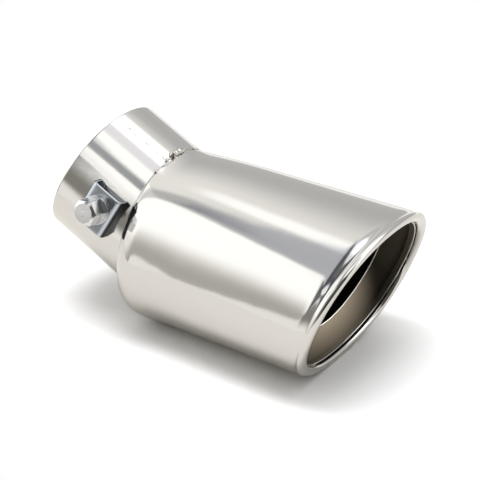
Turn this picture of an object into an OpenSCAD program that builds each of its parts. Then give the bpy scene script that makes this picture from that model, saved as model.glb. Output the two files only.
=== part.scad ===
// Bolt-on exhaust tip: a round inlet pipe, mitred to a turned-down oval body with a
// slash-cut, rolled mouth, an inner sleeve, and a clamp bolt in a welded bracket.
// Millimetres. The origin is the middle of the inlet pipe's open end. +X runs along
// the body towards the mouth, and +Z is up, with the body lying level.

/* [Inlet pipe] */
// Outside diameter of the inlet pipe
inlet_od = 63.5; // [56:0.5:70]
// Wall of the inlet pipe
inlet_wall = 1.2; // [0.8:0.1:2]
// Length of the inlet pipe along its middle, from the open end to the mitre
inlet_len = 37; // [36:1:70]
// Angle between the inlet pipe and the body
bend = 28; // [10:1:34]

/* [Body] */
// Width of the body behind its rear shoulder
back_w = 76.4; // [72:0.2:96]
// Height of the body behind its rear shoulder
back_h = 72.8; // [71:0.2:80]
// Width of the body at the mouth
front_w = 89; // [78:0.5:110]
// Height of the body at the mouth
front_h = 67; // [64:0.5:80]
// Distance from the middle of the mitre to the middle of the mouth
body_len = 98; // [80:1:160]
// How far the underside lies below the middle of the mitre
body_drop = 42.8; // [41:0.2:50]
// Length of the rounded rear shoulder at the top
shoulder_len = 8.75; // [8:0.25:12]
// How much longer the shoulder is at the bottom, where its step is deepest
shoulder_grow = 7; // [0:0.5:8]
// Wall of the body
body_wall = 1.2; // [0.8:0.1:1.6]
// Lean of the mouth, with the top edge longer
slash = 20; // [0:1:30]
// Squareness of the oval, where 2 is an ellipse
squareness = 2.15; // [2:0.05:2.6]

/* [Rolled lip] */
// Outer radius of the roll
lip_r = 2.3; // [2:0.1:3.5]
// Length of the edge that runs back inside behind the roll
lip_return = 3.4; // [1:0.2:6]

/* [Inner sleeve] */
// Outside diameter of the sleeve's straight stretch
sleeve_od = 49; // [40:0.5:52]
// Wall of the sleeve
sleeve_wall = 1; // [0.8:0.1:1.5]
// Distance from the mouth back to the end of the sleeve
sleeve_setback = 11.5; // [6:0.5:30]
// How far the sleeve's middle lies above the middle of the mouth
sleeve_rise = 7.1; // [4:0.1:8]
// Distance from the mitre to the sleeve's rear rim, inside the shoulder
sleeve_start = 6.5; // [4:0.5:7]
// Length of the sleeve's tapered stretch
sleeve_taper = 26; // [22:1:34]

/* [Clamp bracket] */
// Distance from the mitre to the clamp bolt, along the inlet pipe
clamp_back = 14.5; // [13:0.5:22]
// Angle of the clamp bolt above the side of the inlet pipe
clamp_angle = 14; // [-30:1:30]
// Length of the bracket along the inlet pipe
bracket_len = 16; // [15.5:0.5:20]
// Width of the bracket around the inlet pipe
bracket_w = 18; // [14:0.5:24]
// Thickness of the bracket's sheet
bracket_t = 1.2; // [0.8:0.1:1.6]
// Outer radius of the bracket's two bends
bracket_bend_r = 2.6; // [1.8:0.1:2.7]
// Space between the inlet pipe and the bracket's plate
bracket_gap = 3.7; // [3.6:0.1:6]

/* [Clamp bolt] */
// Thread diameter of the clamp bolt
bolt_d = 6; // [5:0.5:6]
// Length of the clamp bolt under its head
bolt_len = 12; // [10:0.2:12.4]
// Height of the bolt's head
head_h = 4; // [3:0.2:5]
// Distance across the flats of the head and the nuts
hex_flats = 10; // [9:0.5:10.5]
// Height of the nut outside the bracket
nut_h = 5; // [4:0.2:6]
// Height of the thin nut welded inside the bracket
weld_nut_h = 3.2; // [2.4:0.2:3.4]
// Outside diameter of the washer
washer_d = 12; // [11:0.5:14]
// Thickness of the washer
washer_t = 1.2; // [0.8:0.1:2]

/* [Fits] */
// Room around the bolt in its nuts
thread_room = 0.05; // [0.02:0.01:0.1]
// Room around the bolt in the washer, the bracket and the pipe
hole_room = 0.3; // [0.2:0.05:0.6]
// Gap under the bracket's feet, which the weld fills
seat_gap = 0.05; // [0.02:0.01:0.2]
// Gap between the sleeve's rear rim and the inside of the shoulder
rim_gap = 0.3; // [0.2:0.05:0.5]
// Thickness of the body's bevelled edge, where it meets the inlet pipe
seam_edge = 0.5; // [0.3:0.05:0.8]

/* [Hidden] */
round_fn = 96;
ring_points = 72;
sleeve_points = 60;
shoulder_steps = 8;
body_steps = 8;
lip_step = 20;
inner_lip_step = 36;
taper_steps = 8;
flare_ease = 0.25;
shoulder_power = 0.65;
tack_angles = [61.5, 74, 83, 110];
tack_r = [1.19, 1.36, 2.21, 1.02];
chamfer_drop = 0.5;
corner_room = 0.1;
tip_chamfer = 0.8;
far = 200;

inlet_r = inlet_od / 2;
mitre_slope = tan(bend / 2);
mouth_slope = tan(slash);
mitre = [inlet_len * cos(bend), 0, -inlet_len * sin(bend)];
back_middle = back_h / 2 - body_drop;
mouth_middle = front_h / 2 - body_drop;
sleeve_middle = mouth_middle + sleeve_rise;
plate_inner = inlet_r + bracket_gap;
plate_outer = plate_inner + bracket_t;
washer_top = plate_outer + washer_t;
head_seat = washer_top + nut_h;
bolt_r = bolt_d / 2;
hex_r = hex_flats / 2 / cos(30);
taper_end = sleeve_taper / (body_len - sleeve_start - sleeve_setback);

function blend(a, b, k) = a + (b - a) * k;
function swell(k) = 1 - pow(1 - k, 2);
function bulge(k) = pow(swell(k), shoulder_power);
function flare(k) = (k < flare_ease ? k * k / (2 * flare_ease) : k - flare_ease / 2) / (1 - flare_ease / 2);
function root(v, n) = sign(v) * pow(abs(v), 2 / n);

// An oval of half-width a and half-height b: its [y, z] point at a turn, and its whole outline
function oval_at(turn, a, b, middle, n) = [a * root(cos(turn), n), middle + b * root(sin(turn), n)];
function oval(a, b, middle, n, count) =
    [for (i = [0 : count - 1]) oval_at(360 * i / count, a, b, middle, n)];

// Where the mitre plane and the mouth plane lie at height z, from the mitre's middle
function mitre_x(z) = z * mitre_slope;
function mouth_x(z) = body_len + (z - mouth_middle) * mouth_slope;

// The shoulder's length at a turn, longest at the bottom
function shoulder_reach(turn) = shoulder_len + shoulder_grow * pow((1 - sin(turn)) / 2, 2);

// The shoulder's [y, z] point at a turn, k of the way from the throat to the full oval
function shoulder_at(turn, k, inset) = blend(
    oval_at(turn, inlet_r - inset, inlet_r - inset, 0, 2),
    oval_at(turn, back_w / 2 - inset, back_h / 2 - inset, back_middle, squareness),
    bulge(k)
);

// One ring of the shoulder, through the points above
function shoulder_ring(k, inset) = [
    for (i = [0 : ring_points - 1]) let (
        turn = 360 * i / ring_points,
        p = shoulder_at(turn, k, inset)
    ) [mitre_x(p[1]) + inset + k * (shoulder_reach(turn) - inset), p[0], p[1]]
];

// The ring where the body's edge meets the inlet pipe's end, on the mitre plane
function seam_ring(inset) = [
    for (p = oval(inlet_r - inset, inlet_r - inset, 0, 2, ring_points))
        [mitre_x(p[1]), p[0], p[1]]
];

// One ring of the body, k of the way from the shoulder to the lip
function body_ring(k, inset) = let (
    w = blend(back_w, front_w, flare(k)),
    h = blend(back_h, front_h, flare(k))
) [
    for (i = [0 : ring_points - 1]) let (
        turn = 360 * i / ring_points,
        p = oval_at(turn, w / 2 - inset, h / 2 - inset, h / 2 - body_drop, squareness)
    ) [blend(mitre_x(p[1]) + shoulder_reach(turn), mouth_x(p[1]) - lip_r, k), p[0], p[1]]
];

// One ring of the lip, set in from the body's outside and back from the mouth plane
function lip_ring(inset, back) = [
    for (p = oval(front_w / 2 - inset, front_h / 2 - inset, mouth_middle, squareness, ring_points))
        [mouth_x(p[1]) - back, p[0], p[1]]
];

// A closed wall through a loop of rings, each with the same number of points
module ring_wall(rings) {
    n = len(rings[0]);
    m = len(rings);
    polyhedron(
        points = [for (r = rings) each r],
        faces = [
            for (j = [0 : m - 1], i = [0 : n - 1]) let (
                a = j * n + i,
                b = j * n + (i + 1) % n,
                c = (j + 1) % m * n + (i + 1) % n,
                d = (j + 1) % m * n + i
            ) each [[a, c, b], [a, d, c]]
        ]
    );
}

// Lays its children along the inlet pipe, with x from the open end to the mitre
module on_inlet() {
    rotate([0, bend, 0]) children();
}

// Stands its children on the clamp bolt's axis, with z outwards from the pipe's middle
module on_clamp() {
    on_inlet()
        translate([inlet_len - clamp_back, 0, 0])
            rotate([90 - clamp_angle, 0, 0])
                children();
}

module half_space_past_mitre() {
    translate([inlet_len, 0, 0])
        rotate([0, -bend / 2, 0])
            translate([0, -far / 2, -far / 2]) cube([far, far, far]);
}

module inlet_pipe() {
    color("silver")
        difference() {
            on_inlet()
                difference() {
                    rotate([0, 90, 0]) cylinder(r = inlet_r, h = inlet_len + inlet_r, $fn = round_fn);
                    translate([-1, 0, 0])
                        rotate([0, 90, 0])
                            cylinder(r = inlet_r - inlet_wall, h = inlet_len + inlet_r + 2, $fn = round_fn);
                    half_space_past_mitre();
                }
            on_clamp() cylinder(r = bolt_r + hole_room, h = inlet_r + 1, $fn = 48);
        }
}

module outer_shell() {
    rings = [
        for (i = [0 : shoulder_steps]) shoulder_ring(pow(i / shoulder_steps, 2), 0),
        for (i = [1 : body_steps]) body_ring(i / body_steps, 0),
        for (q = [lip_step : lip_step : 180]) lip_ring(lip_r * (1 - cos(q)), lip_r * (1 - sin(q))),
        lip_ring(2 * lip_r, lip_r + lip_return),
        lip_ring(2 * lip_r - body_wall, lip_r + lip_return),
        for (q = [180 : -inner_lip_step : 0])
            lip_ring(lip_r - (lip_r - body_wall) * cos(q), lip_r - (lip_r - body_wall) * sin(q)),
        for (i = [body_steps - 1 : -1 : 1]) body_ring(i / body_steps, body_wall),
        for (i = [shoulder_steps : -1 : 1]) shoulder_ring(pow(i / shoulder_steps, 2), body_wall),
        seam_ring(seam_edge),
    ];
    color("gainsboro") translate(mitre) ring_wall(rings);
}

// How far along the shoulder's inside the sleeve's rear rim sits, at a turn
function seat_k(turn) = min(1, (sleeve_start - body_wall) / (shoulder_reach(turn) - body_wall));

// One ring of the sleeve, k of the way along it, from its seat in the shoulder to its open end
function sleeve_ring(k, inset) = [
    for (i = [0 : sleeve_points - 1]) let (
        turn = 360 * i / sleeve_points,
        seat = shoulder_at(turn, seat_k(turn), body_wall + rim_gap + inset),
        tube = oval_at(turn, sleeve_od / 2 - inset, sleeve_od / 2 - inset, sleeve_middle, 2),
        p = blend(seat, tube, swell(min(1, k / taper_end)))
    ) [blend(mitre_x(p[1]) + sleeve_start, mouth_x(p[1]) - sleeve_setback, k), p[0], p[1]]
];

module inner_sleeve() {
    places = [for (i = [0 : taper_steps]) taper_end * i / taper_steps, 1];
    rings = [
        for (k = places) sleeve_ring(k, 0),
        for (i = [len(places) - 1 : -1 : 0]) sleeve_ring(places[i], sleeve_wall),
    ];
    color("dimgray") translate(mitre) ring_wall(rings);
}

// Tack welds on the inlet side of the seam, at their angles above the near side
module seam_tacks() {
    color("darkgray")
        on_inlet()
            for (i = [0 : len(tack_angles) - 1])
                difference() {
                    translate([
                        inlet_len - inlet_r * sin(tack_angles[i]) * mitre_slope,
                        -inlet_r * cos(tack_angles[i]),
                        inlet_r * sin(tack_angles[i])
                    ])
                        sphere(r = tack_r[i], $fn = 32);
                    rotate([0, 90, 0]) cylinder(r = inlet_r, h = 2 * far, $fn = round_fn);
                    half_space_past_mitre();
                }
}

// The bracket's section along the pipe: a plate with a bent leg at each end
module bracket_section() {
    bend_x = bracket_len / 2 - bracket_bend_r;
    bend_z = plate_outer - bracket_bend_r;
    translate([-bend_x, plate_inner]) square([2 * bend_x, bracket_t]);
    for (side = [-1, 1]) {
        intersection() {
            translate([side * bend_x, bend_z])
                difference() {
                    circle(r = bracket_bend_r, $fn = 48);
                    circle(r = bracket_bend_r - bracket_t, $fn = 48);
                }
            translate([side * (bend_x + bracket_bend_r / 2), bend_z + bracket_bend_r / 2])
                square(bracket_bend_r, center = true);
        }
        translate([side * (bracket_len - bracket_t) / 2 - bracket_t / 2, inlet_r - bracket_w / 2])
            square([bracket_t, bend_z - inlet_r + bracket_w / 2]);
    }
}

module clamp_bracket() {
    color("lightsteelblue")
        on_clamp()
            difference() {
                translate([0, bracket_w / 2, 0])
                    rotate([90, 0, 0]) linear_extrude(bracket_w) bracket_section();
                rotate([0, 90, 0])
                    cylinder(r = inlet_r + seat_gap, h = bracket_len * 2, center = true, $fn = round_fn);
                cylinder(r = bolt_r + hole_room, h = plate_outer + 1, $fn = 48);
            }
}

// A hexagon with its corners turned off, at both ends or at the top alone
module hexagon(height, both_ends) {
    corner = hex_r + corner_room;
    flat = hex_flats / 2 * 0.96;
    intersection() {
        rotate([0, 0, 30]) cylinder(r = hex_r, h = height, $fn = 6);
        rotate_extrude($fn = 64)
            polygon([
                [0, 0],
                [both_ends ? flat : corner, 0],
                [corner, both_ends ? chamfer_drop : 0],
                [corner, height - chamfer_drop],
                [flat, height],
                [0, height]
            ]);
    }
}

module drilled_nut(height, both_ends) {
    difference() {
        hexagon(height, both_ends);
        translate([0, 0, -1]) cylinder(r = bolt_r + thread_room, h = height + 2, $fn = 48);
    }
}

module weld_nut() {
    color("gray") on_clamp() translate([0, 0, plate_inner - weld_nut_h]) drilled_nut(weld_nut_h, false);
}

module washer() {
    color("lightgray")
        on_clamp()
            translate([0, 0, plate_outer])
                difference() {
                    cylinder(d = washer_d, h = washer_t, $fn = 64);
                    translate([0, 0, -1]) cylinder(r = bolt_r + hole_room, h = washer_t + 2, $fn = 48);
                }
}

module lock_nut() {
    color("whitesmoke") on_clamp() translate([0, 0, washer_top]) drilled_nut(nut_h, true);
}

module clamp_bolt() {
    color("whitesmoke")
        on_clamp()
            union() {
                translate([0, 0, head_seat]) hexagon(head_h, false);
                translate([0, 0, head_seat - bolt_len])
                    rotate_extrude($fn = 48)
                        polygon([
                            [0, 0],
                            [bolt_r - tip_chamfer, 0],
                            [bolt_r, tip_chamfer],
                            [bolt_r, bolt_len],
                            [0, bolt_len]
                        ]);
            }
}

inlet_pipe();
outer_shell();
inner_sleeve();
seam_tacks();
clamp_bracket();
weld_nut();
washer();
lock_nut();
clamp_bolt();
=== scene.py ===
"""A curved bolt-on exhaust tip in polished stainless steel, on a white studio floor.

Every piece is a surface worked out with numpy from the sizes below, in metres. The row's origin is
the middle of the inlet pipe's open end, +X runs along the body to the mouth, and +Z is up.
"""

import math

import bpy
import numpy as np
from bpy.props import FloatProperty, FloatVectorProperty, IntProperty, PointerProperty
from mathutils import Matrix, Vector


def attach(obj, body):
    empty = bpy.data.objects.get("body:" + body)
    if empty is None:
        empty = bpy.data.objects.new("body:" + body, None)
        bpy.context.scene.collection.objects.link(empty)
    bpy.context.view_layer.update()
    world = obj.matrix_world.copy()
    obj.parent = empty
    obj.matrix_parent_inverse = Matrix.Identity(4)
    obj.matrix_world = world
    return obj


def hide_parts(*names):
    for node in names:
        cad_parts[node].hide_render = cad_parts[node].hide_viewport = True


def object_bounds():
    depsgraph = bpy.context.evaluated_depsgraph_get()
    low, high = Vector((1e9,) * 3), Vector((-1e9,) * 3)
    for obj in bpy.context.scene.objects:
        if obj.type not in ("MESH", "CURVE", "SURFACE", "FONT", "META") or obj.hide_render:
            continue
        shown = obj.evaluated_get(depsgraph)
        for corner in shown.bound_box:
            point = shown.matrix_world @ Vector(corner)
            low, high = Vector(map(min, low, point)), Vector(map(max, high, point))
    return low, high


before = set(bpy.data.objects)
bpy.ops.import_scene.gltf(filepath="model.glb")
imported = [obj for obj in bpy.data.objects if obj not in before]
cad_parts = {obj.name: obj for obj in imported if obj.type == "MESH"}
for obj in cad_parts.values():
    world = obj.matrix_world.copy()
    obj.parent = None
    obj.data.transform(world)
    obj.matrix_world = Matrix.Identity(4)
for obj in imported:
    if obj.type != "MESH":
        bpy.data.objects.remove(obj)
cad_low, cad_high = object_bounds()

bl_info = {
    "name": "Exhaust tip",
    "version": (1, 0, 0),
    "blender": (4, 5, 0),
    "location": "3D View > Sidebar > Exhaust tip",
    "description": "Builds a curved bolt-on exhaust tip and a white studio around it",
    "category": "Add Mesh",
}

MM = 0.001
HALF_TURN = math.pi
FULL_TURN = 2 * math.pi


def length(name, text, millimetres):
    """A length property, given in millimetres and kept in metres."""
    return FloatProperty(
        name=name, description=text, default=millimetres * MM, precision=4, unit="LENGTH"
    )


def angle(name, text, degrees):
    """An angle property, given in degrees and kept in radians."""
    return FloatProperty(
        name=name, description=text, default=math.radians(degrees), subtype="ANGLE"
    )


def number(name, text, value):
    """A plain number property."""
    return FloatProperty(name=name, description=text, default=value)


def linear(code):
    """Turns an sRGB hex code into linear red, green and blue."""
    parts = [int(code[i : i + 2], 16) / 255 for i in (1, 3, 5)]
    return tuple(c / 12.92 if c <= 0.04045 else ((c + 0.055) / 1.055) ** 2.4 for c in parts)


def colour(name, text, code):
    """A colour property, given as an sRGB hex code and kept in linear values."""
    return FloatVectorProperty(
        name=name, description=text, default=linear(code), size=3, min=0, max=1, subtype="COLOR"
    )


class TipSizes(bpy.types.PropertyGroup):
    """The sizes of the tip's sheet-metal parts and of its clamp."""

    inlet_od: length("Inlet diameter", "Outside diameter of the inlet pipe", 63.5)
    inlet_wall: length("Inlet wall", "Wall of the inlet pipe", 1.2)
    inlet_len: length("Inlet length", "Middle of the open end to the mitre", 37)
    bend: angle("Bend", "Angle between the inlet pipe and the body", 28)
    back_w: length("Rear width", "Width of the body behind its shoulder", 76.4)
    back_h: length("Rear height", "Height of the body behind its shoulder", 72.8)
    front_w: length("Mouth width", "Width of the body at the mouth", 89)
    front_h: length("Mouth height", "Height of the body at the mouth", 67)
    body_len: length("Body length", "Middle of the mitre to the middle of the mouth", 98)
    body_drop: length("Body drop", "Underside below the middle of the mitre", 42.8)
    shoulder_len: length("Shoulder length", "Length of the rounded rear shoulder, at the top", 8.75)
    shoulder_grow: length("Shoulder growth", "How much longer the shoulder is at the bottom", 7)
    shoulder_power: number("Shoulder power", "Lower is steeper at the seam", 0.65)
    body_wall: length("Body wall", "Wall of the body", 1.2)
    slash: angle("Slash", "Lean of the mouth, with the top edge longer", 20)
    squareness: number("Squareness", "Oval power, 2 is an ellipse", 2.15)
    flare_ease: number("Flare ease", "Share of the body where its flare starts", 0.25)
    seam_edge: length("Seam edge", "Thickness of the body's edge at the seam", 0.5)
    seam_ridge: length("Seam ridge", "Radius of the fused ridge along the seam", 0.32)
    lip_r: length("Lip radius", "Outer radius of the rolled lip", 2.3)
    lip_return: length("Lip return", "Length of the edge behind the roll", 3.4)
    crease: length("Crease", "Depth of the crease behind the lip", 0.45)
    sleeve_od: length("Sleeve diameter", "Outside diameter of the sleeve", 49)
    sleeve_wall: length("Sleeve wall", "Wall of the sleeve", 1)
    sleeve_setback: length("Sleeve setback", "Mouth back to the sleeve's end", 11.5)
    sleeve_rise: length("Sleeve rise", "Middle of the sleeve above that of the mouth", 7.1)
    sleeve_start: length("Sleeve start", "Mitre to the sleeve's rear rim", 6.5)
    sleeve_taper: length("Sleeve taper", "Length of the sleeve's taper", 26)
    rim_gap: length("Rim gap", "Sleeve's rear rim to the shoulder", 0.3)
    clamp_back: length("Clamp place", "Mitre back to the clamp bolt", 14.5)
    clamp_angle: angle("Clamp angle", "Clamp bolt above the side of the pipe", 14)
    bracket_len: length("Bracket length", "Length along the inlet pipe", 16)
    bracket_w: length("Bracket width", "Width around the inlet pipe", 18)
    bracket_t: length("Bracket sheet", "Thickness of the bracket's sheet", 1.2)
    bracket_bend_r: length("Bracket bends", "Outer radius of the bracket's bends", 2.6)
    bracket_gap: length("Bracket gap", "Inlet pipe to the bracket's plate", 3.7)
    seat_gap: length("Seat gap", "Gap under the bracket's feet", 0.05)
    bolt_d: length("Bolt", "Thread diameter of the clamp bolt", 6)
    bolt_len: length("Bolt length", "Length under the bolt's head", 12)
    pitch: length("Thread pitch", "Pitch of the bolt's thread", 1)
    head_h: length("Head height", "Height of the bolt's head", 4)
    hex_flats: length("Across flats", "Flats of the head and nuts", 10)
    nut_h: length("Nut height", "Height of the outer nut", 5)
    weld_nut_h: length("Captive nut height", "Height of the nut inside the bracket", 3.2)
    washer_d: length("Washer", "Outside diameter of the washer", 12)
    washer_t: length("Washer thickness", "Thickness of the washer", 1.2)
    thread_room: length("Thread room", "Room around the bolt in its nuts", 0.05)
    hole_room: length("Hole room", "Room around the bolt in the plate and pipe", 0.3)
    chamfer: length("Hexagon chamfer", "Depth of the turned corners", 0.5)
    around: IntProperty(name="Points around", description="Mesh points around each tube", default=288)


class TipFinishes(bpy.types.PropertyGroup):
    """The colours of the metals."""

    polished: colour("Polished stainless", "Body and rolled lip", "#D9D7D3")
    drawn: colour("Drawn stainless", "Inlet pipe", "#D9D7D3")
    # The sleeve's cut rim: near-white and matt, a painted highlight
    rim_highlight: colour("Sheared edge", "Edge of the sleeve", "#DCD8D0")
    # Inside of the body: satin and browner, and darker than its lit tone as painted shade
    rolled: colour("Rolled stainless", "Inside of the body", "#71685A")
    # The sleeve's near-black colour: painted shade for the dark inside of the tip
    scale: colour("Painted scale", "Sleeve, with its mill scale", "#2C2825")
    weld: colour("Weld metal", "Beads on the seam", "#D2CEC8")
    heat_tint: colour("Heat tint", "Foot of the welds", "#5A5350")
    zinc: colour("Zinc plate", "Bracket", "#C4CAD2")
    # The bracket's legs: a dark colour that is painted shade
    leg_shade: colour("Shaded zinc", "Legs of the bracket", "#3E4044")
    # The face of the bolt's head: more matt, and near-white as a painted highlight
    matt_face_and_highlight: colour("Pale zinc", "Face of the bolt's head", "#FCFBF8")
    bright_zinc: colour("Bright zinc", "Bolt, nuts and washer", "#DCDCDC")


class TipStudio(bpy.types.PropertyGroup):
    """The camera, floor and light."""

    azimuth: angle("Azimuth", "Camera's turn from looking along +Y", 33.425)
    elevation: angle("Elevation", "Camera's height above level", 24.787)
    distance: length("Distance", "Camera to the point it aims at", 538.78)
    lens: number("Lens", "Focal length in millimetres", 94.14)
    lamp_power: number("Lamp power", "Power of the overhead lamp in watts", 3.8)
    mouth_power: number("Mouth lamp", "Power of the lamp into the mouth in watts", 80)


# The oval, the planes and the walls of the tip, relative to the middle of the mitre


def oval(half_w, half_h, middle, power, turn):
    """Each half-size times the turn's cosine or sine, raised to 2 over the power with its sign kept."""
    across, up = np.cos(turn), np.sin(turn)
    return (
        half_w * np.sign(across) * np.abs(across) ** (2 / power),
        middle + half_h * np.sign(up) * np.abs(up) ** (2 / power),
    )


def mix(a, b, k):
    """A share k of the way from a to b."""
    return a + (b - a) * k


def swell(k):
    """One less the square of what is left of k: quick at first, level at the end."""
    return 1 - (1 - k) ** 2


def bulge(s, k):
    """The swell of k raised to the shoulder's power, so that it starts steeply."""
    return swell(k) ** s.shoulder_power


def flare(k, ease):
    """A square over the first share, ease, and a straight line after it, meeting smoothly."""
    return np.where(k < ease, k * k / (2 * ease), k - ease / 2) / (1 - ease / 2)


def mitre_x(s, z):
    """The mitre plane leans by half of the bend."""
    return z * math.tan(s.bend / 2)


def mouth_x(s, z):
    """The mouth plane leans by the slash, about the middle of the mouth."""
    return s.body_len + (z - mouth_middle(s)) * math.tan(s.slash)


def mouth_middle(s):
    """Height of the middle of the mouth."""
    return s.front_h / 2 - s.body_drop


def stack(x, y, z):
    """Three arrays of one shape, or of shapes that fit, as an array of points."""
    return np.stack(np.broadcast_arrays(x, y, z), axis=-1)


def steps(count, first=0.0, last=1.0):
    """Even steps as a column, so that they meet a row of turns."""
    return np.linspace(first, last, count)[:, None]


def shoulder_reach(s, turn):
    """The shoulder's length at a turn.

    It grows by the square of (1 - sine) / 2, so mostly at the underside.
    """
    return s.shoulder_len + s.shoulder_grow * ((1 - np.sin(turn)) / 2) ** 2


def shoulder_outline(s, k, inset, turn):
    """A blend from the throat's circle to the rear oval, by the bulge of k, less the inset."""
    throat = oval(s.inlet_od / 2 - inset, s.inlet_od / 2 - inset, 0, 2, turn)
    full = oval(
        s.back_w / 2 - inset, s.back_h / 2 - inset, s.back_h / 2 - s.body_drop, s.squareness, turn
    )
    return [mix(a, b, bulge(s, k)) for a, b in zip(throat, full)]


def shoulder(s, k, inset, turn):
    """The shoulder's outline, moved on along X from the mitre plane by k of its length."""
    y, z = shoulder_outline(s, k, inset, turn)
    return stack(mitre_x(s, z) + inset + k * (shoulder_reach(s, turn) - inset), y, z)


# The crease: how far its middle lies back from the lip, and its reach behind and ahead of that
CREASE_BACK, CREASE_BEHIND, CREASE_AHEAD = 1.3 * MM, 2.4 * MM, 0.8 * MM


def body(s, k, inset, turn):
    """An oval that grows from rear size to mouth size by the flare of k, with its underside level.

    Just behind the lip it is pinched by the depth of the crease, along a bell that is longer at its back.
    """
    g = flare(k, s.flare_ease)
    w, h = mix(s.back_w, s.front_w, g), mix(s.back_h, s.front_h, g)
    before = (1 - k) * s.body_len - CREASE_BACK
    reach = np.where(before > 0, CREASE_BEHIND, CREASE_AHEAD)
    inset = inset + s.crease * np.exp(-(before / reach) ** 2)
    y, z = oval(w / 2 - inset, h / 2 - inset, h / 2 - s.body_drop, s.squareness, turn)
    return stack(mix(mitre_x(s, z) + shoulder_reach(s, turn), mouth_x(s, z) - s.lip_r, k), y, z)


def lip(s, inset, back, turn):
    """The mouth's oval less the inset, moved back from the mouth plane."""
    y, z = oval(s.front_w / 2 - inset, s.front_h / 2 - inset, mouth_middle(s), s.squareness, turn)
    return stack(mouth_x(s, z) - back, y, z)


def roll(s, radius, q, turn):
    """A half circle about the roll's middle: inset grows with 1 - cos q, and back shrinks with sin q."""
    return lip(s, s.lip_r - radius * np.cos(q), s.lip_r - radius * np.sin(q), turn)


def from_mitre(s, points):
    """Moves points from the middle of the mitre to the row's origin."""
    return points + np.array(
        [s.inlet_len * math.cos(s.bend), 0, -s.inlet_len * math.sin(s.bend)]
    )


def turns(count):
    """A row of even turns round a full circle."""
    return np.linspace(0, FULL_TURN, count, endpoint=False)[None, :]


# Meshes


def grid_faces(points, loop, caps):
    """Faces through a grid, closed round its second direction and, as a loop, along its first; outwards."""
    m, n = points.shape[:2]
    i, j = np.meshgrid(np.arange(m if loop else m - 1), np.arange(n), indexing="ij")
    after, beside = (i + 1) % m, (j + 1) % n
    quads = np.stack([i * n + j, i * n + beside, after * n + beside, after * n + j], -1).reshape(-1, 4)
    co = points.reshape(-1, 3)
    a, b, c, d = (co[quads[:, k]] for k in range(4))
    volume = np.sum(a * np.cross(b, c)) + np.sum(a * np.cross(c, d))
    first, last = np.arange(n), (m - 1) * n + np.arange(n)
    if caps:
        volume += cap_volume(co, first[::-1]) + cap_volume(co, last)
    groups = [quads, first[None, ::-1], last[None, :]] if caps else [quads]
    return [group[:, ::-1] if volume < 0 else group for group in groups]


def grid_mesh(name, grids, loop=True, caps=False, dull=None):
    """A mesh through one grid of points, or through each grid of a pile of them.

    dull is how far each point is from the clean finish, 0 to 1, for the material: a real stain on the
    welds, painted shade on the body's inside and the bracket's legs, and a painted highlight on the
    sleeve's rim and the bolt's face.
    """
    pile = grids.reshape(-1, *grids.shape[-3:])
    size = pile[0, ..., 0].size
    faces = []
    for index, points in enumerate(pile):
        for group in grid_faces(points, loop, caps):
            faces += (group + index * size).tolist()
    mesh = bpy.data.meshes.new(name)
    mesh.from_pydata(grids.reshape(-1, 3).tolist(), [], faces)
    if dull is not None:
        values = np.broadcast_to(dull, grids.shape[:-1]).astype(np.float32).ravel()
        mesh.attributes.new("dull", "FLOAT", "POINT").data.foreach_set("value", values)
    return mesh


def cap_volume(co, ring):
    """Six times the volume under a flat ring's fan of triangles."""
    a, b, c = co[ring[0]], co[ring[1:-1]], co[ring[2:]]
    return np.sum(np.cross(b, c) @ a)


def finish(mesh, sharp=math.radians(38)):
    """Smooth shading, kept sharp where faces meet at more than the given angle."""
    mesh.validate()
    mesh.shade_smooth()
    mesh.set_sharp_from_angle(angle=sharp)
    mesh.update()


def place(mesh, material, slot, *nodes):
    """Puts a finished mesh in the scene, riding on the part, in place of its CAD nodes."""
    finish(mesh)
    mesh.materials.append(material)
    piece = bpy.data.objects.new(mesh.name, mesh)
    bpy.context.scene.collection.objects.link(piece)
    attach(piece, "root")
    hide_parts(*nodes)


# Points round a drilled hole
HOLE_POINTS = 48


def drill(mesh, axis_points, radius):
    """Cuts a round hole through a mesh, along a line between two points."""
    start, end = (Vector(p) for p in axis_points)
    turn = turns(HOLE_POINTS)[0]
    along = (end - start).normalized()
    side = along.orthogonal().normalized()
    other = along.cross(side)
    ring = radius * (np.outer(np.cos(turn), side) + np.outer(np.sin(turn), other))
    tool = grid_mesh("drill", np.stack([ring + np.array(start), ring + np.array(end)]), False, True)
    cutter = bpy.data.objects.new("drill", tool)
    work = bpy.data.objects.new("work", mesh)
    for obj in (cutter, work):
        bpy.context.scene.collection.objects.link(obj)
    cut = work.modifiers.new("hole", "BOOLEAN")
    cut.operation, cut.solver, cut.object = "DIFFERENCE", "EXACT", cutter
    result = bpy.data.meshes.new_from_object(work.evaluated_get(bpy.context.evaluated_depsgraph_get()))
    result.name = mesh.name
    for obj in (cutter, work):
        bpy.data.objects.remove(obj)
    for old in (tool, mesh):
        bpy.data.meshes.remove(old)
    return result


# Materials


def add_node(tree, kind, inputs=None, **settings):
    """Adds a node, sets its properties, and sets or links each of its inputs."""
    made = tree.nodes.new(kind)
    for key, value in settings.items():
        setattr(made, key, value)
    for key, value in (inputs or {}).items():
        if isinstance(value, bpy.types.NodeSocket):
            tree.links.new(value, made.inputs[key])
        else:
            made.inputs[key].default_value = value
    return made


# Where most of a noise texture's values lie, and how much deeper the fine bump is where the stain and
# painted light is full
NOISE_LOW, NOISE_HIGH = 0.35, 0.65
PITTED = 20


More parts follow.
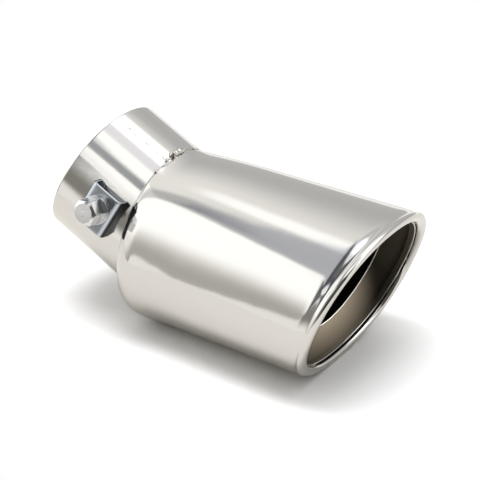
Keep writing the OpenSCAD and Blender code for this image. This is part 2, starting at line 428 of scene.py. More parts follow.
def metal(name, base, roughness, grain, waves, stain_and_painted_light, turn=0.0):
    """A bare or plated metal.

    grain is (size across the lines in mm, stretch along them, bump in mm, roughness swing), and waves is
    (size in mm, bump in mm). stain_and_painted_light is (colour, extra roughness, bare metal left) where
    the piece's dull attribute is 1: a real stain on the welds, painted shade on the
    body's inside and the bracket's legs, and a painted highlight on the sleeve's rim and the bolt's face.
    It is mixed in by that attribute, and pits the surface too. turn leans the grain's lines about Y, so
    they can follow a tube's axis.
    """
    material = bpy.data.materials.new(name)
    material.use_nodes = True
    tree = material.node_tree
    tree.nodes.clear()
    place_on = add_node(tree, "ShaderNodeTexCoord").outputs["Object"]
    size, stretch, depth, swing = grain
    lines = add_node(
        tree, "ShaderNodeMapping",
        {"Vector": place_on, "Rotation": (0, turn, 0), "Scale": (1 / stretch, 1, 1)},
    )
    scratches = add_node(
        tree, "ShaderNodeTexNoise",
        {"Vector": lines.outputs["Vector"], "Scale": 1 / (size * MM), "Detail": 3.0},
    )
    patches = add_node(
        tree, "ShaderNodeTexNoise",
        {"Vector": place_on, "Scale": 1 / (waves[0] * MM), "Detail": 2.0},
    )
    polish = add_node(
        tree, "ShaderNodeMapRange",
        {
            "Value": scratches.outputs[0], "From Min": NOISE_LOW, "From Max": NOISE_HIGH,
            "To Min": roughness - swing, "To Max": roughness + swing,
        },
    ).outputs[0]
    ripple = add_node(
        tree, "ShaderNodeBump",
        {"Height": patches.outputs[0], "Distance": waves[1] * MM, "Strength": 1.0},
    )
    stain_and_painted_light_colour, extra, left = stain_and_painted_light
    dull = add_node(tree, "ShaderNodeAttribute", attribute_name="dull").outputs["Fac"]
    tint = add_node(
        tree, "ShaderNodeMix", {0: dull, 6: (*base, 1), 7: (*stain_and_painted_light_colour, 1)}, data_type="RGBA"
    ).outputs[2]
    polish = add_node(
        tree, "ShaderNodeMath", {0: dull, 1: extra, 2: polish}, operation="MULTIPLY_ADD"
    ).outputs[0]
    bare = add_node(
        tree, "ShaderNodeMath", {0: dull, 1: left - 1, 2: 1.0}, operation="MULTIPLY_ADD"
    ).outputs[0]
    pitted = add_node(
        tree, "ShaderNodeMapRange", {"Value": dull, "To Min": 1 / PITTED, "To Max": 1.0}
    ).outputs[0]
    fine = add_node(
        tree, "ShaderNodeBump",
        {
            "Height": scratches.outputs[0], "Distance": PITTED * depth * MM, "Strength": pitted,
            "Normal": ripple.outputs[0],
        },
    )
    shader = add_node(
        tree, "ShaderNodeBsdfPrincipled",
        {"Base Color": tint, "Metallic": bare, "Roughness": polish, "Normal": fine.outputs[0]},
    )
    add_node(tree, "ShaderNodeOutputMaterial", {"Surface": shader.outputs[0]})
    return material


# The pieces


def inlet_frame(s, x, y, z):
    """Turns points of the inlet pipe's own frame down by the bend, about Y."""
    c, n = math.cos(s.bend), math.sin(s.bend)
    return stack(x * c + z * n, y, z * c - x * n)


def clamp_frame(s, x, y, z):
    """Points of the clamp bolt's own frame, with z outwards from the pipe's middle, in the row's frame."""
    c, n = math.sin(s.clamp_angle), math.cos(s.clamp_angle)
    return inlet_frame(s, s.inlet_len - s.clamp_back + x, y * c - z * n, y * n + z * c)


# How far the drill for the clamp bolt starts and ends beyond the tube's wall
DRILL_PAST = 4 * MM

# The inlet tube's own weld: its place round the pipe, the reach of its bell and of the finer mesh around
# it, as angles, and its height
WELD_AT = math.radians(105.5)
WELD_REACH, WELD_MESH = 0.0065, 0.035
WELD_HEIGHT = 0.1 * MM


class TIP_OT_inlet(bpy.types.Operator):
    """Builds the inlet pipe, cut on the mitre and drilled for the clamp bolt"""

    bl_idname = "tip.inlet"
    bl_label = "Inlet pipe"

    def execute(self, context):
        s, f = context.scene.tip_sizes, context.scene.tip_finishes
        near_weld = WELD_AT + np.linspace(-WELD_MESH, WELD_MESH, 21)[None, :]
        turn = np.sort(np.concatenate([turns(s.around), near_weld], axis=1))
        outer, inner = s.inlet_od / 2, s.inlet_od / 2 - s.inlet_wall
        edge = s.inlet_wall / 2

        def wall(radius, k):
            """Along the pipe from its rounded rear rim to the mitre, which is nearer at the top."""
            up = radius * np.sin(turn)
            x = mix(edge, s.inlet_len - up * math.tan(s.bend / 2), k)
            return inlet_frame(s, x, radius * np.cos(turn), up)

        def weld(k):
            """How strong the tube's long weld is: a bell across it, faded in over the first eighth.

            Two sines, one within the other, bead it, and two more make its middle wander.
            """
            beads = 0.35 + 0.3 * np.sin(k * 130 + 3 * np.sin(k * 37))
            wander = 0.006 * np.sin(k * 21) + 0.003 * np.sin(k * 55)
            bell = np.exp(-(((turn - WELD_AT - wander) / WELD_REACH) ** 2))
            return beads * bell * np.minimum(1, k * 8)

        def rim(q):
            """A half circle across the wall, from its inside to its outside."""
            radius = (outer + inner) / 2 - edge * np.cos(q)
            return inlet_frame(s, edge - edge * np.sin(q), radius * np.cos(turn), radius * np.sin(turn))

        along = steps(150)
        line = weld(along)
        inside = np.concatenate([wall(inner, steps(40, 1, 0)), rim(steps(7, 0, HALF_TURN)[1:-1])])
        points = np.concatenate([wall(outer + WELD_HEIGHT * line, along), inside])
        dull = np.concatenate([line, np.zeros(inside.shape[:2])])
        mesh = grid_mesh("inlet_skin", points, dull=dull)
        axis = [clamp_frame(s, 0, 0, z) for z in (inner - DRILL_PAST, outer + DRILL_PAST)]
        mesh = drill(mesh, axis, s.bolt_d / 2 + s.hole_room)
        # Drawn 304 stainless tube, buffed along its length: a soft mirror with faint lines along the pipe
        # and, on top, the thin wandering line of the tube's own weld
        tube = metal(
            "Drawn 304 stainless tube, buffed", f.drawn, 0.10, (0.7, 14, 0.0012, 0.02), (24, 0.05),
            turn=-s.bend, stain_and_painted_light=(f.heat_tint, 0.15, 0.8),
        )
        place(mesh, tube, "stainless_inlet", "inlet_pipe")
        return {"FINISHED"}


# The fused ridge on the seam: the share of its radius that is sunk in the pipe, its arc, the rows of its
# two feet, and how stained those are. The shoulder's rows start at this step, squared, under the ridge
RIDGE_SUNK, RIDGE_ARC = 0.1, 0.8 * math.pi
RIDGE_FEET, FEET_DULL = [0, 1, 7, 8], 0.55
SHOULDER_FROM = 0.18

# The hem on the return of the lip: the radius of its bead, and how far its middle lies behind the roll
HEM_R, HEM_BACK = 0.28 * MM, 0.9 * MM


class TIP_OT_body(bpy.types.Operator):
    """Builds the body's shell, from its seam to the rolled lip and back inside"""

    bl_idname = "tip.body"
    bl_label = "Body"

    def execute(self, context):
        s, f = context.scene.tip_sizes, context.scene.tip_finishes
        turn = turns(s.around)
        wall = s.body_wall
        back = s.lip_r + s.lip_return
        y, z = oval(s.inlet_od / 2 - s.seam_edge, s.inlet_od / 2 - s.seam_edge, 0, 2, turn)
        seam = stack(mitre_x(s, z), y, z)
        hem_at, bead = s.lip_r + HEM_BACK, steps(9, 0, HALF_TURN)[1:]

        def ridge(q):
            """Most of a half circle across the seam, standing on the pipe's surface: the fused edge."""
            radius = s.inlet_od / 2 + s.seam_ridge * (np.sin(q) - RIDGE_SUNK)
            y, z = radius * np.cos(turn), radius * np.sin(turn)
            return stack(mitre_x(s, z) - s.seam_ridge * np.cos(q), y, z)

        # A power of the even steps crowds the rows at the seam and the lip, where the shape turns fastest
        outside = np.concatenate([
            ridge(steps(9, 0, RIDGE_ARC)),
            shoulder(s, steps(28, SHOULDER_FROM) ** 2, 0, turn),
            body(s, 1 - steps(90, 1, 0)[1:] ** 1.7, 0, turn),
            roll(s, s.lip_r, steps(33, 0, HALF_TURN)[1:], turn),
            lip(s, 2 * s.lip_r, steps(3, s.lip_r, hem_at - HEM_R)[1:], turn),
            lip(s, 2 * s.lip_r + HEM_R * np.sin(bead), hem_at - HEM_R * np.cos(bead), turn),
        ])
        inside = np.concatenate([
            lip(s, 2 * s.lip_r, steps(6, hem_at + HEM_R, back)[1:], turn),
            lip(s, 2 * s.lip_r - wall, steps(6, back, s.lip_r)[:-1], turn),
            roll(s, s.lip_r - wall, steps(17, HALF_TURN, 0), turn),
            body(s, steps(40, 1, 0)[1:], wall, turn),
            shoulder(s, steps(12, 1, 0)[1:-1] ** 2, wall, turn),
            seam,
        ])
        points = from_mitre(s, np.concatenate([outside, inside]))
        dull = np.zeros(points.shape[:2])
        dull[RIDGE_FEET] = FEET_DULL
        # The whole inside takes that darker colour, partly painted shade
        dull[len(outside):] = 1
        mesh = grid_mesh("body_skin", points, dull=dull)
        # Polished 304 stainless sheet: a soft mirror outside, with the fine round lines that a polishing
        # wheel leaves. Inside it is satin and browner, and its colour is kept darker than its lit tone:
        # painted shade for the inside walls that the lamp into the mouth doesn't reach
        sheet = metal(
            "Polished 304 stainless sheet", f.polished, 0.09, (0.5, 0.3, 0.0008, 0.03), (24, 0.085),
            stain_and_painted_light=(f.rolled, 0.4, 0.5),
        )
        place(mesh, sheet, "stainless_body", "outer_shell")
        return {"FINISHED"}


class TIP_OT_sleeve(bpy.types.Operator):
    """Builds the inner sleeve, from its seat in the shoulder to its open end"""

    bl_idname = "tip.sleeve"
    bl_label = "Inner sleeve"

    def execute(self, context):
        s, f = context.scene.tip_sizes, context.scene.tip_finishes
        turn = turns(s.around)
        seat_k = np.minimum(1, (s.sleeve_start - s.body_wall) / (shoulder_reach(s, turn) - s.body_wall))
        taper_end = s.sleeve_taper / (s.body_len - s.sleeve_start - s.sleeve_setback)
        radius, middle = s.sleeve_od / 2, mouth_middle(s) + s.sleeve_rise
        edge = s.sleeve_wall / 4

        def ring(k, inset, back=0.0):
            """A blend from the seat's outline to the tube's circle, by the swell of k over the taper."""
            seat = shoulder_outline(s, seat_k, s.body_wall + s.rim_gap + inset, turn)
            tube = oval(radius - inset, radius - inset, middle, 2, turn)
            y, z = (mix(a, b, swell(np.minimum(1, k / taper_end))) for a, b in zip(seat, tube))
            return stack(
                mix(mitre_x(s, z) + s.sleeve_start, mouth_x(s, z) - s.sleeve_setback - back, k), y, z
            )

        taper, tube = steps(24, 0, taper_end), steps(20, taper_end, 1)[1:]
        wall = s.sleeve_wall
        points = np.concatenate([
            ring(taper, 0), ring(tube, 0, edge),
            ring(steps(1, 1), edge), ring(steps(1, 1), wall - edge),
            ring(tube[::-1], wall, edge), ring(taper[::-1], wall),
        ])
        # The two rows of the rim follow after the taper and the tube
        past_tube = (np.arange(len(points)) - len(taper) - len(tube))[:, None]
        # The rim's two rows take the near-white painted highlight
        dull = (past_tube == 0) | (past_tube == 1)
        mesh = grid_mesh("sleeve_skin", from_mitre(s, points), dull=dull)
        # Plain 304 stainless tube with lines along it. Its near-black colour is painted shade, standing in
        # for the dark inside of the tip, and the near-white matt colour on its rim is a painted highlight
        painted = metal(
            "Plain 304 stainless tube, mill finish", f.scale, 0.45, (0.4, 10, 0.003, 0.06), (14, 0.05),
            stain_and_painted_light=(f.rim_highlight, 0.1, 0.1),
        )
        place(mesh, painted, "stainless_sleeve", "inner_sleeve")
        return {"FINISHED"}


# The tack welds: degrees round the seam from the far side, over the top; place before or past the seam,
# half the length along it, half the width across it, and height, in mm
TACKS = (
    (91.0, -0.6, 4.6, 1.6, 1.4),
    (98.0, -0.6, 1.7, 1.5, 2.0),
    (105.6, -0.3, 1.3, 0.8, 1.0),
    (119, -0.2, 1.2, 0.6, 0.8),
    (71.5, 0.3, 0.8, 0.6, 0.8),
)
# How far a tack weld's rings stay from its two poles, as an angle
POLE_ROOM = 0.04


class TIP_OT_seam(bpy.types.Operator):
    """Builds the tack welds along the top of the seam"""

    bl_idname = "tip.seam"
    bl_label = "Tack welds"

    def execute(self, context):
        s, f = context.scene.tip_sizes, context.scene.tip_finishes
        radius = s.inlet_od / 2
        tilt, turn = steps(41, POLE_ROOM, HALF_TURN - POLE_ROOM), turns(40)
        pile, shades = [], []
        for at, before, half_length, half_width, height in TACKS:
            # An egg along the seam, with ripples across it: the poles are its two ends
            ripple = 1 + 0.07 * np.cos(tilt * half_length * 2.4) + 0.05 * np.sin(3 * turn + at)
            where = math.radians(at) + half_length * MM * np.cos(tilt) / radius
            across = half_width * MM * np.sin(tilt) * np.cos(turn) * ripple
            out = radius + height * MM * np.sin(tilt) * np.sin(turn) * ripple
            x = s.inlet_len - radius * np.sin(where) * math.tan(s.bend / 2) + before * MM + across
            pile.append(inlet_frame(s, x, out * np.cos(where), out * np.sin(where)))
            # Fully browned at the pipe's surface, and not at all a quarter of the way up
            shades.append(np.clip(1 - 4 * np.sin(tilt) * np.sin(turn), 0, 1))
        mesh = grid_mesh("seam_beads", np.stack(pile), loop=False, caps=True, dull=np.stack(shades))
        # Stainless weld bead: bright, lumpy, a little duller than the sheet, and browned round its foot
        bead = metal(
            "Stainless weld bead", f.weld, 0.2, (0.5, 1, 0.003, 0.06), (1.8, 0.04),
            stain_and_painted_light=(f.heat_tint, 0.2, 0.8),
        )
        place(mesh, bead, "weld_metal", "seam_tacks")
        return {"FINISHED"}


# The rounding of the strip's edges, and where its legs take their dark painted shade: this share of the
# bend's radius past the bend's start, and fully after that share more
STRIP_EDGE = 0.35 * MM
LEG_SHADE_FROM, LEG_SHADE_WITHIN = 0.62, 0.15


class TIP_OT_bracket(bpy.types.Operator):
    """Builds the bent clamp bracket, whose feet follow the pipe"""

    bl_idname = "tip.bracket"
    bl_label = "Clamp bracket"

    def execute(self, context):
        s, f = context.scene.tip_sizes, context.scene.tip_finishes
        half_t, half_w = s.bracket_t / 2, s.bracket_w / 2
        bend_x = s.bracket_len / 2 - s.bracket_bend_r
        bend_z = s.inlet_od / 2 + s.bracket_gap + s.bracket_t - s.bracket_bend_r
        mid_r = s.bracket_bend_r - half_t

        # The strip's section: the sheet's thickness by the bracket's width, round at its edges
        edge = STRIP_EDGE
        corner = np.linspace(0, math.pi / 2, 6)
        long_side = np.linspace(1, -1, 14)[1:-1]
        off, wide = [], []
        for quarter, (a, b) in enumerate(((1, 1), (1, -1), (-1, -1), (-1, 1))):
            q = corner if a * b > 0 else corner[::-1]
            off.append(a * (half_t - edge + edge * np.sin(q)))
            wide.append(b * (half_w - edge + edge * np.cos(q)))
            if quarter in (0, 2):
                off.append(np.full(len(long_side), a * half_t))
                wide.append(a * long_side * (half_w - edge))
        off, wide = np.concatenate(off)[None, :], np.concatenate(wide)[None, :]

        foot = np.sqrt((s.inlet_od / 2 + s.seat_gap) ** 2 - wide**2)
        leg, bend, plate = steps(9), steps(11, math.pi, math.pi / 2), steps(8, -1, 1)
        left = stack(-bend_x - mid_r - off, wide, mix(foot, bend_z, leg))
        curl = stack(-bend_x + (mid_r + off) * np.cos(bend), wide, bend_z + (mid_r + off) * np.sin(bend))
        flat = stack(bend_x * plate, wide, bend_z + mid_r + off)
        mirror = np.array([-1, 1, 1])
        half = np.concatenate([left, curl[1:-1]])
        local = np.concatenate([half, flat, (half * mirror)[::-1]])
        points = clamp_frame(s, local[..., 0], local[..., 1], local[..., 2])
        # Dark painted shade on its legs, below the bends
        past_bend = (np.abs(local[..., 0]) - bend_x) / s.bracket_bend_r
        dull = np.clip((past_bend - LEG_SHADE_FROM) / LEG_SHADE_WITHIN, 0, 1)
        mesh = grid_mesh("bracket_skin", points, loop=False, caps=True, dull=dull)
        axis = [clamp_frame(s, 0, 0, bend_z + mid_r + z * MM) for z in (-3, 3)]
        mesh = drill(mesh, axis, s.bolt_d / 2 + s.hole_room)
        # Zinc-plated mild steel strip: bluish grey, smooth and satin, with dark painted shade on its legs
        strip = metal(
            "Blue zinc-plated steel strip", f.zinc, 0.22, (0.6, 1, 0.0003, 0.03), (9, 0.004),
            stain_and_painted_light=(f.leg_shade, 0.2, 0.9),
        )
        place(mesh, strip, "zinc_bracket", "clamp_bracket")
        return {"FINISHED"}


def hex_radius(flats, turn):
    """A hexagon's outline, a little round at its corners.

    It is half the flats over a high power mean of the cosines to the three pairs of sides.
    """
    power = 90
    total = sum(np.abs(np.cos(turn - math.radians(a))) ** power for a in (0, 60, 120))
    return flats / 2 / total ** (1 / power)


# The turned cone of a chamfer ends this far outside the corners
CORNER_ROOM = 0.1 * MM


def hex_side(s, height, turn, both_ends, chamfer, face_share=0.96):
    """Heights and radii up a hexagon's side: its outline, or the turned cone where that is nearer."""
    flat = s.hex_flats / 2 * face_share
    corner = s.hex_flats / 2 / math.cos(math.radians(30)) + CORNER_ROOM
    slope = (corner - flat) / chamfer
    end = steps(13, 0, chamfer)
    z = np.concatenate([end, steps(5, chamfer, height - chamfer)[1:-1], height - end[::-1]])
    cone = flat + slope * (height - z)
    if both_ends:
        cone = np.minimum(cone, flat + slope * z)
    return z, np.minimum(hex_radius(s.hex_flats, turn), cone)


def drilled_hexagon(s, name, height, base, both_ends):
    """A nut: the hexagon's side, closed through the wall of its hole."""
    turn = turns(144)
    z, radius = hex_side(s, height, turn, both_ends, s.chamfer)
    hole = s.bolt_d / 2 + s.thread_room
    ring = np.full((1, turn.shape[1]), hole)
    radius = np.concatenate([ring, radius, ring])
    z = np.concatenate([[[0]], z, [[height]]]) + base
    return grid_mesh(name, clamp_frame(s, radius * np.cos(turn), radius * np.sin(turn), z))


# The bolt's head: height of its dome, depth of its chamfer, its face as a share of the flats, the lean of
# the face, and the places, depth and radius of its two dimples
HEAD_DOME, HEAD_CHAMFER, HEAD_FACE = 0.3 * MM, 1.1 * MM, 0.78
HEAD_LEAN = math.radians(4)
DIMPLES = ((-0.73 * MM, 1.05 * MM), (0.76 * MM, -1.35 * MM))
DIMPLE_DEPTH, DIMPLE_R = 0.22 * MM, 0.4 * MM
# The depth of the bolt's thread and of the chamfer at its tip, and the rounding of the washer's edge
THREAD_DEPTH, TIP_CHAMFER = 0.5 * MM, 0.8 * MM
WASHER_EDGE = 0.2 * MM


class TIP_OT_fasteners(bpy.types.Operator):
    """Builds the clamp bolt, the washer and both nuts"""

    bl_idname = "tip.fasteners"
    bl_label = "Bolt, nuts and washer"

    def execute(self, context):
        s, f = context.scene.tip_sizes, context.scene.tip_finishes
        plate_inner = s.inlet_od / 2 + s.bracket_gap
        plate_outer = plate_inner + s.bracket_t
        washer_top = plate_outer + s.washer_t
        head_seat = washer_top + s.nut_h
        # Bright zinc plate over turned steel: nearly white, with small soft glints. The forged face of the
        # bolt's head is more matt, and its near-white colour is a painted highlight
        zinc = metal(
            "Bright zinc-plated steel", f.bright_zinc, 0.2, (0.5, 1, 0.0003, 0.03), (3, 0.006),
            stain_and_painted_light=(f.matt_face_and_highlight, 0.25, 0.1),
        )

        captive = drilled_hexagon(s, "captive_nut", s.weld_nut_h, plate_inner - s.weld_nut_h, False)
        place(captive, zinc, "zinc_fasteners", "weld_nut")
        nut = drilled_hexagon(s, "outer_nut", s.nut_h, washer_top, True)
        place(nut, zinc, "zinc_fasteners", "lock_nut")

        turn = turns(128)
        hole, rim, edge = s.bolt_d / 2 + s.hole_room, s.washer_d / 2, WASHER_EDGE
        corner = steps(6, 0, math.pi / 2)
        top, low = s.washer_t - edge, edge
        radius = np.concatenate([
            [[hole]], rim - edge + edge * np.sin(corner), rim - edge + edge * np.cos(corner), [[hole]],
        ])
        z = np.concatenate([
            [[0]], low - edge * np.cos(corner), top + edge * np.sin(corner), [[s.washer_t]],
        ]) + plate_outer
        ring = clamp_frame(s, radius * np.cos(turn), radius * np.sin(turn), z)
        place(grid_mesh("washer_skin", ring), zinc, "zinc_fasteners", "washer")

        turn = turns(144)
        shank_z = steps(241) * s.bolt_len + head_seat - s.bolt_len
        ramp = (shank_z / s.pitch - turn / FULL_TURN) % 1
        cut = THREAD_DEPTH * (1 - np.abs(2 * ramp - 1))
        ends = np.minimum(1, (head_seat - shank_z) / s.pitch)
        tip = np.minimum(0, shank_z - (head_seat - s.bolt_len) - TIP_CHAMFER)
        shank = s.bolt_d / 2 + tip - cut * ends
        z, side = hex_side(s, s.head_h - HEAD_DOME, turn, False, HEAD_CHAMFER, HEAD_FACE)
        face = steps(25, HEAD_FACE, 0) * s.hex_flats / 2 * np.ones_like(turn)
        # The face: a low dome that leans up a little, less its dimples, each a bell round its middle
        x, y = face * np.cos(turn), face * np.sin(turn)
        dents = sum(
            DIMPLE_DEPTH * np.exp(-((x - a) ** 2 + (y - b) ** 2) / DIMPLE_R**2) for a, b in DIMPLES
        )
        rim_share = (face / face[0]) ** 2
        fall = HEAD_DOME * rim_share + math.tan(HEAD_LEAN) * y * (1 - rim_share) + dents
        point, top = np.zeros_like(turn), head_seat + s.head_h
        radius = np.concatenate([point, shank, side, face[1:-1], point])
        level = np.concatenate([shank_z[:1], shank_z, z + head_seat])
        rows = np.concatenate([level + point, top - fall[1:-1], top + point])
        points = clamp_frame(s, radius * np.cos(turn), radius * np.sin(turn), rows)
        dull = np.zeros_like(rows)
        # The face takes the near-white, matt colour: a painted highlight
        dull[-len(face):] = 1
        mesh = grid_mesh("bolt_skin", points, loop=False, dull=dull)
        place(mesh, zinc, "zinc_fasteners", "clamp_bolt")
        return {"FINISHED"}


class TIP_OT_stage(bpy.types.Operator):
    """Sets the floor, the light and the camera"""

    bl_idname = "tip.stage"
    bl_label = "Stage"

    def execute(self, context):
        scene, studio = context.scene, context.scene.tip_studio
        scene.view_settings.view_transform = "Standard"
        build_floor(scene)
        build_world(scene)
        build_lamps(scene, studio)
        build_camera(scene, studio)
        return {"FINISHED"}


# The floor's extent, and its colour to matt surfaces, in the metal's mirror, and to the camera
FLOOR_X, FLOOR_Y = (-0.35, 0.45), (-0.118, 0.5)
FLOOR_PAPER = (0.85, 0.85, 0.85, 1)
FLOOR_IN_METAL = (0.90, 0.88, 0.84, 1)
FLOOR_SEEN = (1.3, 1.3, 1.3, 1)


def build_floor(scene):
    """A white floor under the part: whiter for the camera, so that only the shadow shows."""
    level = cad_low[2]
    (x0, x1), (y0, y1) = FLOOR_X, FLOOR_Y
    mesh = bpy.data.meshes.new("floor")
    corners = [(x0, y0, level), (x1, y0, level), (x1, y1, level), (x0, y1, level)]
    mesh.from_pydata(corners, [], [[0, 1, 2, 3]])
    material = bpy.data.materials.new("White floor")
    material.use_nodes = True
    tree = material.node_tree
    tree.nodes.clear()
    path = add_node(tree, "ShaderNodeLightPath")
    paper = FLOOR_PAPER
    for ray, tone in (("Is Glossy Ray", FLOOR_IN_METAL), ("Is Camera Ray", FLOOR_SEEN)):
        paper = add_node(
            tree, "ShaderNodeMix", {0: path.outputs[ray], 6: paper, 7: tone}, data_type="RGBA"
        ).outputs[2]
    matt = add_node(tree, "ShaderNodeBsdfDiffuse", {"Color": paper})
    add_node(tree, "ShaderNodeOutputMaterial", {"Surface": matt.outputs[0]})
    mesh.materials.append(material)
    floor = bpy.data.objects.new("floor", mesh)
    scene.collection.objects.link(floor)


# What the metal mirrors: a plain light, and bands across it along X. Each has a lower and an upper edge,
# as degrees round X from level in front (0) over the top (90) to level behind (180), where x is -0.5, then
# degrees for each unit of x, and the softness; the x where it starts and the x where it is full; and the
# share of the light that it leaves.
STUDIO_LIGHT = (1.10, 1.09, 1.063, 1)
STUDIO_BANDS = (
    ("white wall at the left", (0, 0, 30), (67, -90, 6), (-0.12, -0.35), (1.38, 1.40, 1.42)),
    ("white wall at the right", (0, 0, 30), (103, 30, 8), (-0.35, -0.12), (1.38, 1.40, 1.42)),
    ("white strip overhead", (94, 0, 6), (103, 30, 8), (-0.54, -0.42), (1.36, 1.38, 1.40)),
    ("back wall", (108, 0, 48), (176, 0, 4), (-9, 1), (0.515, 0.515, 0.53)),
    ("gap between softboxes", (67, -90, 5), (78, 150, 7), (0, -0.25), (0.53, 0.55, 0.61)),
    ("thin gap at the left", (72, 0, 4), (84, 0, 7), (-0.44, -0.51), (0.58, 0.58, 0.60)),
    ("stand", (47, 0, 3), (57, 0, 7), (-0.25, 0), (0.30, 0.31, 0.33)),
    ("stand at the mouth", (-8, 100, 6), (66, -100, 6), (-0.45, -0.39), (0.12, 0.12, 0.13)),
    ("stand over the mouth", (20, 75, 5), (140, -145, 8), (-0.34, -0.28), (0.14, 0.14, 0.15)),
    ("lamp head", (77, 0, 6), (92, 0, 8), (-0.25, 0), (0.72, 0.71, 0.76)),
    ("room at the left", (1.6, 190, 1.5), (5, 140, 42), (-0.48, -0.56), (0.50, 0.49, 0.465)),
    ("edge of the paper", (0.2, 190, 1.5), (2.2, 190, 1.5), (-0.48, -0.56), (0.72, 0.70, 0.68)),
    ("room in front", (-24, 0, 20), (-4, 66, 12), (-0.56, -0.48), (0.26, 0.255, 0.24)),
    ("room behind the camera", (-25, 0, 15), (40, 0, 25), (0.0, 0.3), (0.25, 0.25, 0.25)),
)


# The sky over matt surfaces: its strength at the horizon and at the top, and the height, 1 at the top,
# from which it grows
SKY_LOW, SKY_HIGH, SKY_FROM = 0.05, 1.2, 0.35


def build_world(scene):
    """White for the camera, plain light for matt surfaces, and a studio of bands for metal."""
    world = bpy.data.worlds.new("Studio")
    scene.world = world
    world.use_nodes = True
    tree = world.node_tree
    tree.nodes.clear()
    path = add_node(tree, "ShaderNodeLightPath")
    direction = add_node(tree, "ShaderNodeTexCoord").outputs["Generated"]
    towards = add_node(tree, "ShaderNodeSeparateXYZ", {0: direction})
    x = towards.outputs["X"]
    front = add_node(tree, "ShaderNodeMath", {0: towards.outputs["Y"], 1: -1}, operation="MULTIPLY")
    round_x = add_node(
        tree, "ShaderNodeMath", {0: towards.outputs["Z"], 1: front.outputs[0]}, operation="ARCTAN2"
    )
    degrees = add_node(tree, "ShaderNodeMath", {0: round_x.outputs[0]}, operation="DEGREES").outputs[0]

    seen_light = STUDIO_LIGHT
    for name, low, high, side, left in STUDIO_BANDS:
        # A band's mask: a soft step along X, times one past its lower and one past its upper leaning edge
        mask = add_node(
            tree, "ShaderNodeMapRange", {"Value": x, "From Min": side[0], "From Max": side[1]},
            interpolation_type="SMOOTHSTEP",
        ).outputs[0]
        foot, head = low[0] + low[1] / 2, high[0] + high[1] / 2
        for slope, first, last in ((low[1], foot, foot + low[2]), (high[1], head + high[2], head)):
            past = add_node(
                tree, "ShaderNodeMath", {0: x, 1: -slope, 2: degrees}, operation="MULTIPLY_ADD"
            ).outputs[0]
            step = add_node(
                tree, "ShaderNodeMapRange", {"Value": past, "From Min": first, "From Max": last},
                interpolation_type="SMOOTHSTEP",
            ).outputs[0]
            mask = add_node(tree, "ShaderNodeMath", {0: mask, 1: step}, operation="MULTIPLY").outputs[0]
        band = add_node(
            tree, "ShaderNodeMix", {0: mask, 6: seen_light, 7: (*left, 1)},
            data_type="RGBA", blend_type="MULTIPLY", label=name,
        )
        seen_light = band.outputs[2]
    overhead = add_node(
        tree, "ShaderNodeMapRange",
        {"Value": towards.outputs["Z"], "From Min": SKY_FROM, "To Min": SKY_LOW, "To Max": SKY_HIGH},
    ).outputs[0]
    plain = add_node(tree, "ShaderNodeBackground", {"Color": (1, 1, 1, 1), "Strength": overhead})
    white = add_node(tree, "ShaderNodeBackground", {"Color": (1, 1, 1, 1), "Strength": 1.0})
    studio = add_node(tree, "ShaderNodeBackground", {"Color": seen_light, "Strength": 1.0})
    metal_or_matt = add_node(
        tree, "ShaderNodeMixShader",
        {0: path.outputs["Is Glossy Ray"], 1: plain.outputs[0], 2: studio.outputs[0]},
    )
    seen = add_node(
        tree, "ShaderNodeMixShader",
        {0: path.outputs["Is Camera Ray"], 1: metal_or_matt.outputs[0], 2: white.outputs[0]},
    )
    add_node(tree, "ShaderNodeOutputWorld", {"Surface": seen.outputs[0]})


# Where the overhead lamp stands and aims, in metres, and the narrow lamp into the mouth, which stands at
# the camera's place and has this cone
LAMP_AT, LAMP_AIM = (0.09, -0.11, 0.75), (0.06, 0, -0.03)
LAMP_SIZE = (0.7, 0.3)
MOUTH_LAMP_AT, MOUTH_LAMP_AIM = (0.331, -0.394, 0.200), (0.105, -0.0165, -0.0245)
MOUTH_LAMP_CONE = math.radians(6.1)


def add_lamp(scene, name, kind, power, place_at, aim_at, onto=(), **settings):
    """A lamp that neither the camera nor the metal's mirror sees, screened to fall onto pieces if given."""
    data = bpy.data.lights.new(name, kind)
    data.energy = power
    for key, value in settings.items():
        setattr(data, key, value)
    lamp = bpy.data.objects.new(name, data)
    lamp.location = place_at
    lamp.rotation_euler = (Vector(aim_at) - lamp.location).to_track_quat("-Z", "Y").to_euler()
    lamp.visible_glossy = False
    lamp.visible_camera = False
    scene.collection.objects.link(lamp)
    if onto:
        lit = bpy.data.collections.new(name)
        for piece in onto:
            lit.objects.link(bpy.data.objects[piece])
        lamp.light_linking.receiver_collection = lit


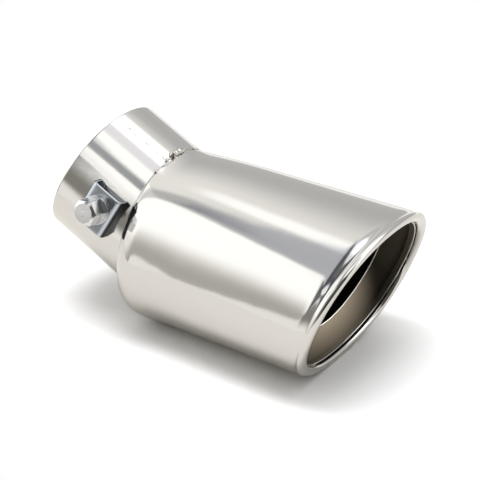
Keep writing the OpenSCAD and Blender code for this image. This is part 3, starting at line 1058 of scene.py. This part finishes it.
def build_lamps(scene, studio):
    """A broad overhead lamp for the soft shadow, and a narrow one through the mouth."""
    add_lamp(
        scene, "overhead", "AREA", studio.lamp_power, LAMP_AT, LAMP_AIM,
        shape="RECTANGLE", size=LAMP_SIZE[0], size_y=LAMP_SIZE[1],
    )
    add_lamp(
        scene, "mouth light", "SPOT", studio.mouth_power, MOUTH_LAMP_AT, MOUTH_LAMP_AIM,
        onto=("body_skin", "sleeve_skin"),
        spot_size=MOUTH_LAMP_CONE, spot_blend=0.25, shadow_soft_size=0.01,
    )


# The point that the camera aims at, fitted to the photo
CAMERA_AIM = (0.06119, 0.01409, -0.02592)


def build_camera(scene, studio):
    """The camera stands at its distance from the point it aims at, turned by azimuth and elevation."""
    aim = Vector(CAMERA_AIM)
    az, el = studio.azimuth, studio.elevation
    away = Vector((math.sin(az) * math.cos(el), -math.cos(az) * math.cos(el), math.sin(el)))
    data = bpy.data.cameras.new("camera")
    data.lens = studio.lens
    data.sensor_width = 36
    data.clip_start = 0.01
    camera = bpy.data.objects.new("camera", data)
    camera.location = aim + away * studio.distance
    camera.rotation_euler = (math.pi / 2 - el, 0, az)
    scene.collection.objects.link(camera)
    scene.camera = camera


class TIP_PT_panel(bpy.types.Panel):
    """Lists the pieces and the stage"""

    bl_idname = "TIP_PT_panel"
    bl_label = "Exhaust tip"
    bl_space_type = "VIEW_3D"
    bl_region_type = "UI"
    bl_category = "Exhaust tip"

    def draw(self, context):
        for operator in OPERATORS:
            self.layout.operator(operator.bl_idname)


OPERATORS = (
    TIP_OT_inlet, TIP_OT_body, TIP_OT_sleeve, TIP_OT_seam, TIP_OT_bracket, TIP_OT_fasteners, TIP_OT_stage,
)
GROUPS = {"tip_sizes": TipSizes, "tip_finishes": TipFinishes, "tip_studio": TipStudio}


def register():
    for cls in (*GROUPS.values(), *OPERATORS, TIP_PT_panel):
        bpy.utils.register_class(cls)
    for name, group in GROUPS.items():
        setattr(bpy.types.Scene, name, PointerProperty(type=group))


def unregister():
    for name in GROUPS:
        delattr(bpy.types.Scene, name)
    for cls in (TIP_PT_panel, *OPERATORS, *GROUPS.values()):
        bpy.utils.unregister_class(cls)


def main():
    """Builds everything in order."""
    register()
    for operator in OPERATORS:
        group, name = operator.bl_idname.split(".")
        getattr(getattr(bpy.ops, group), name)()


if __name__ == "__main__":
    main()
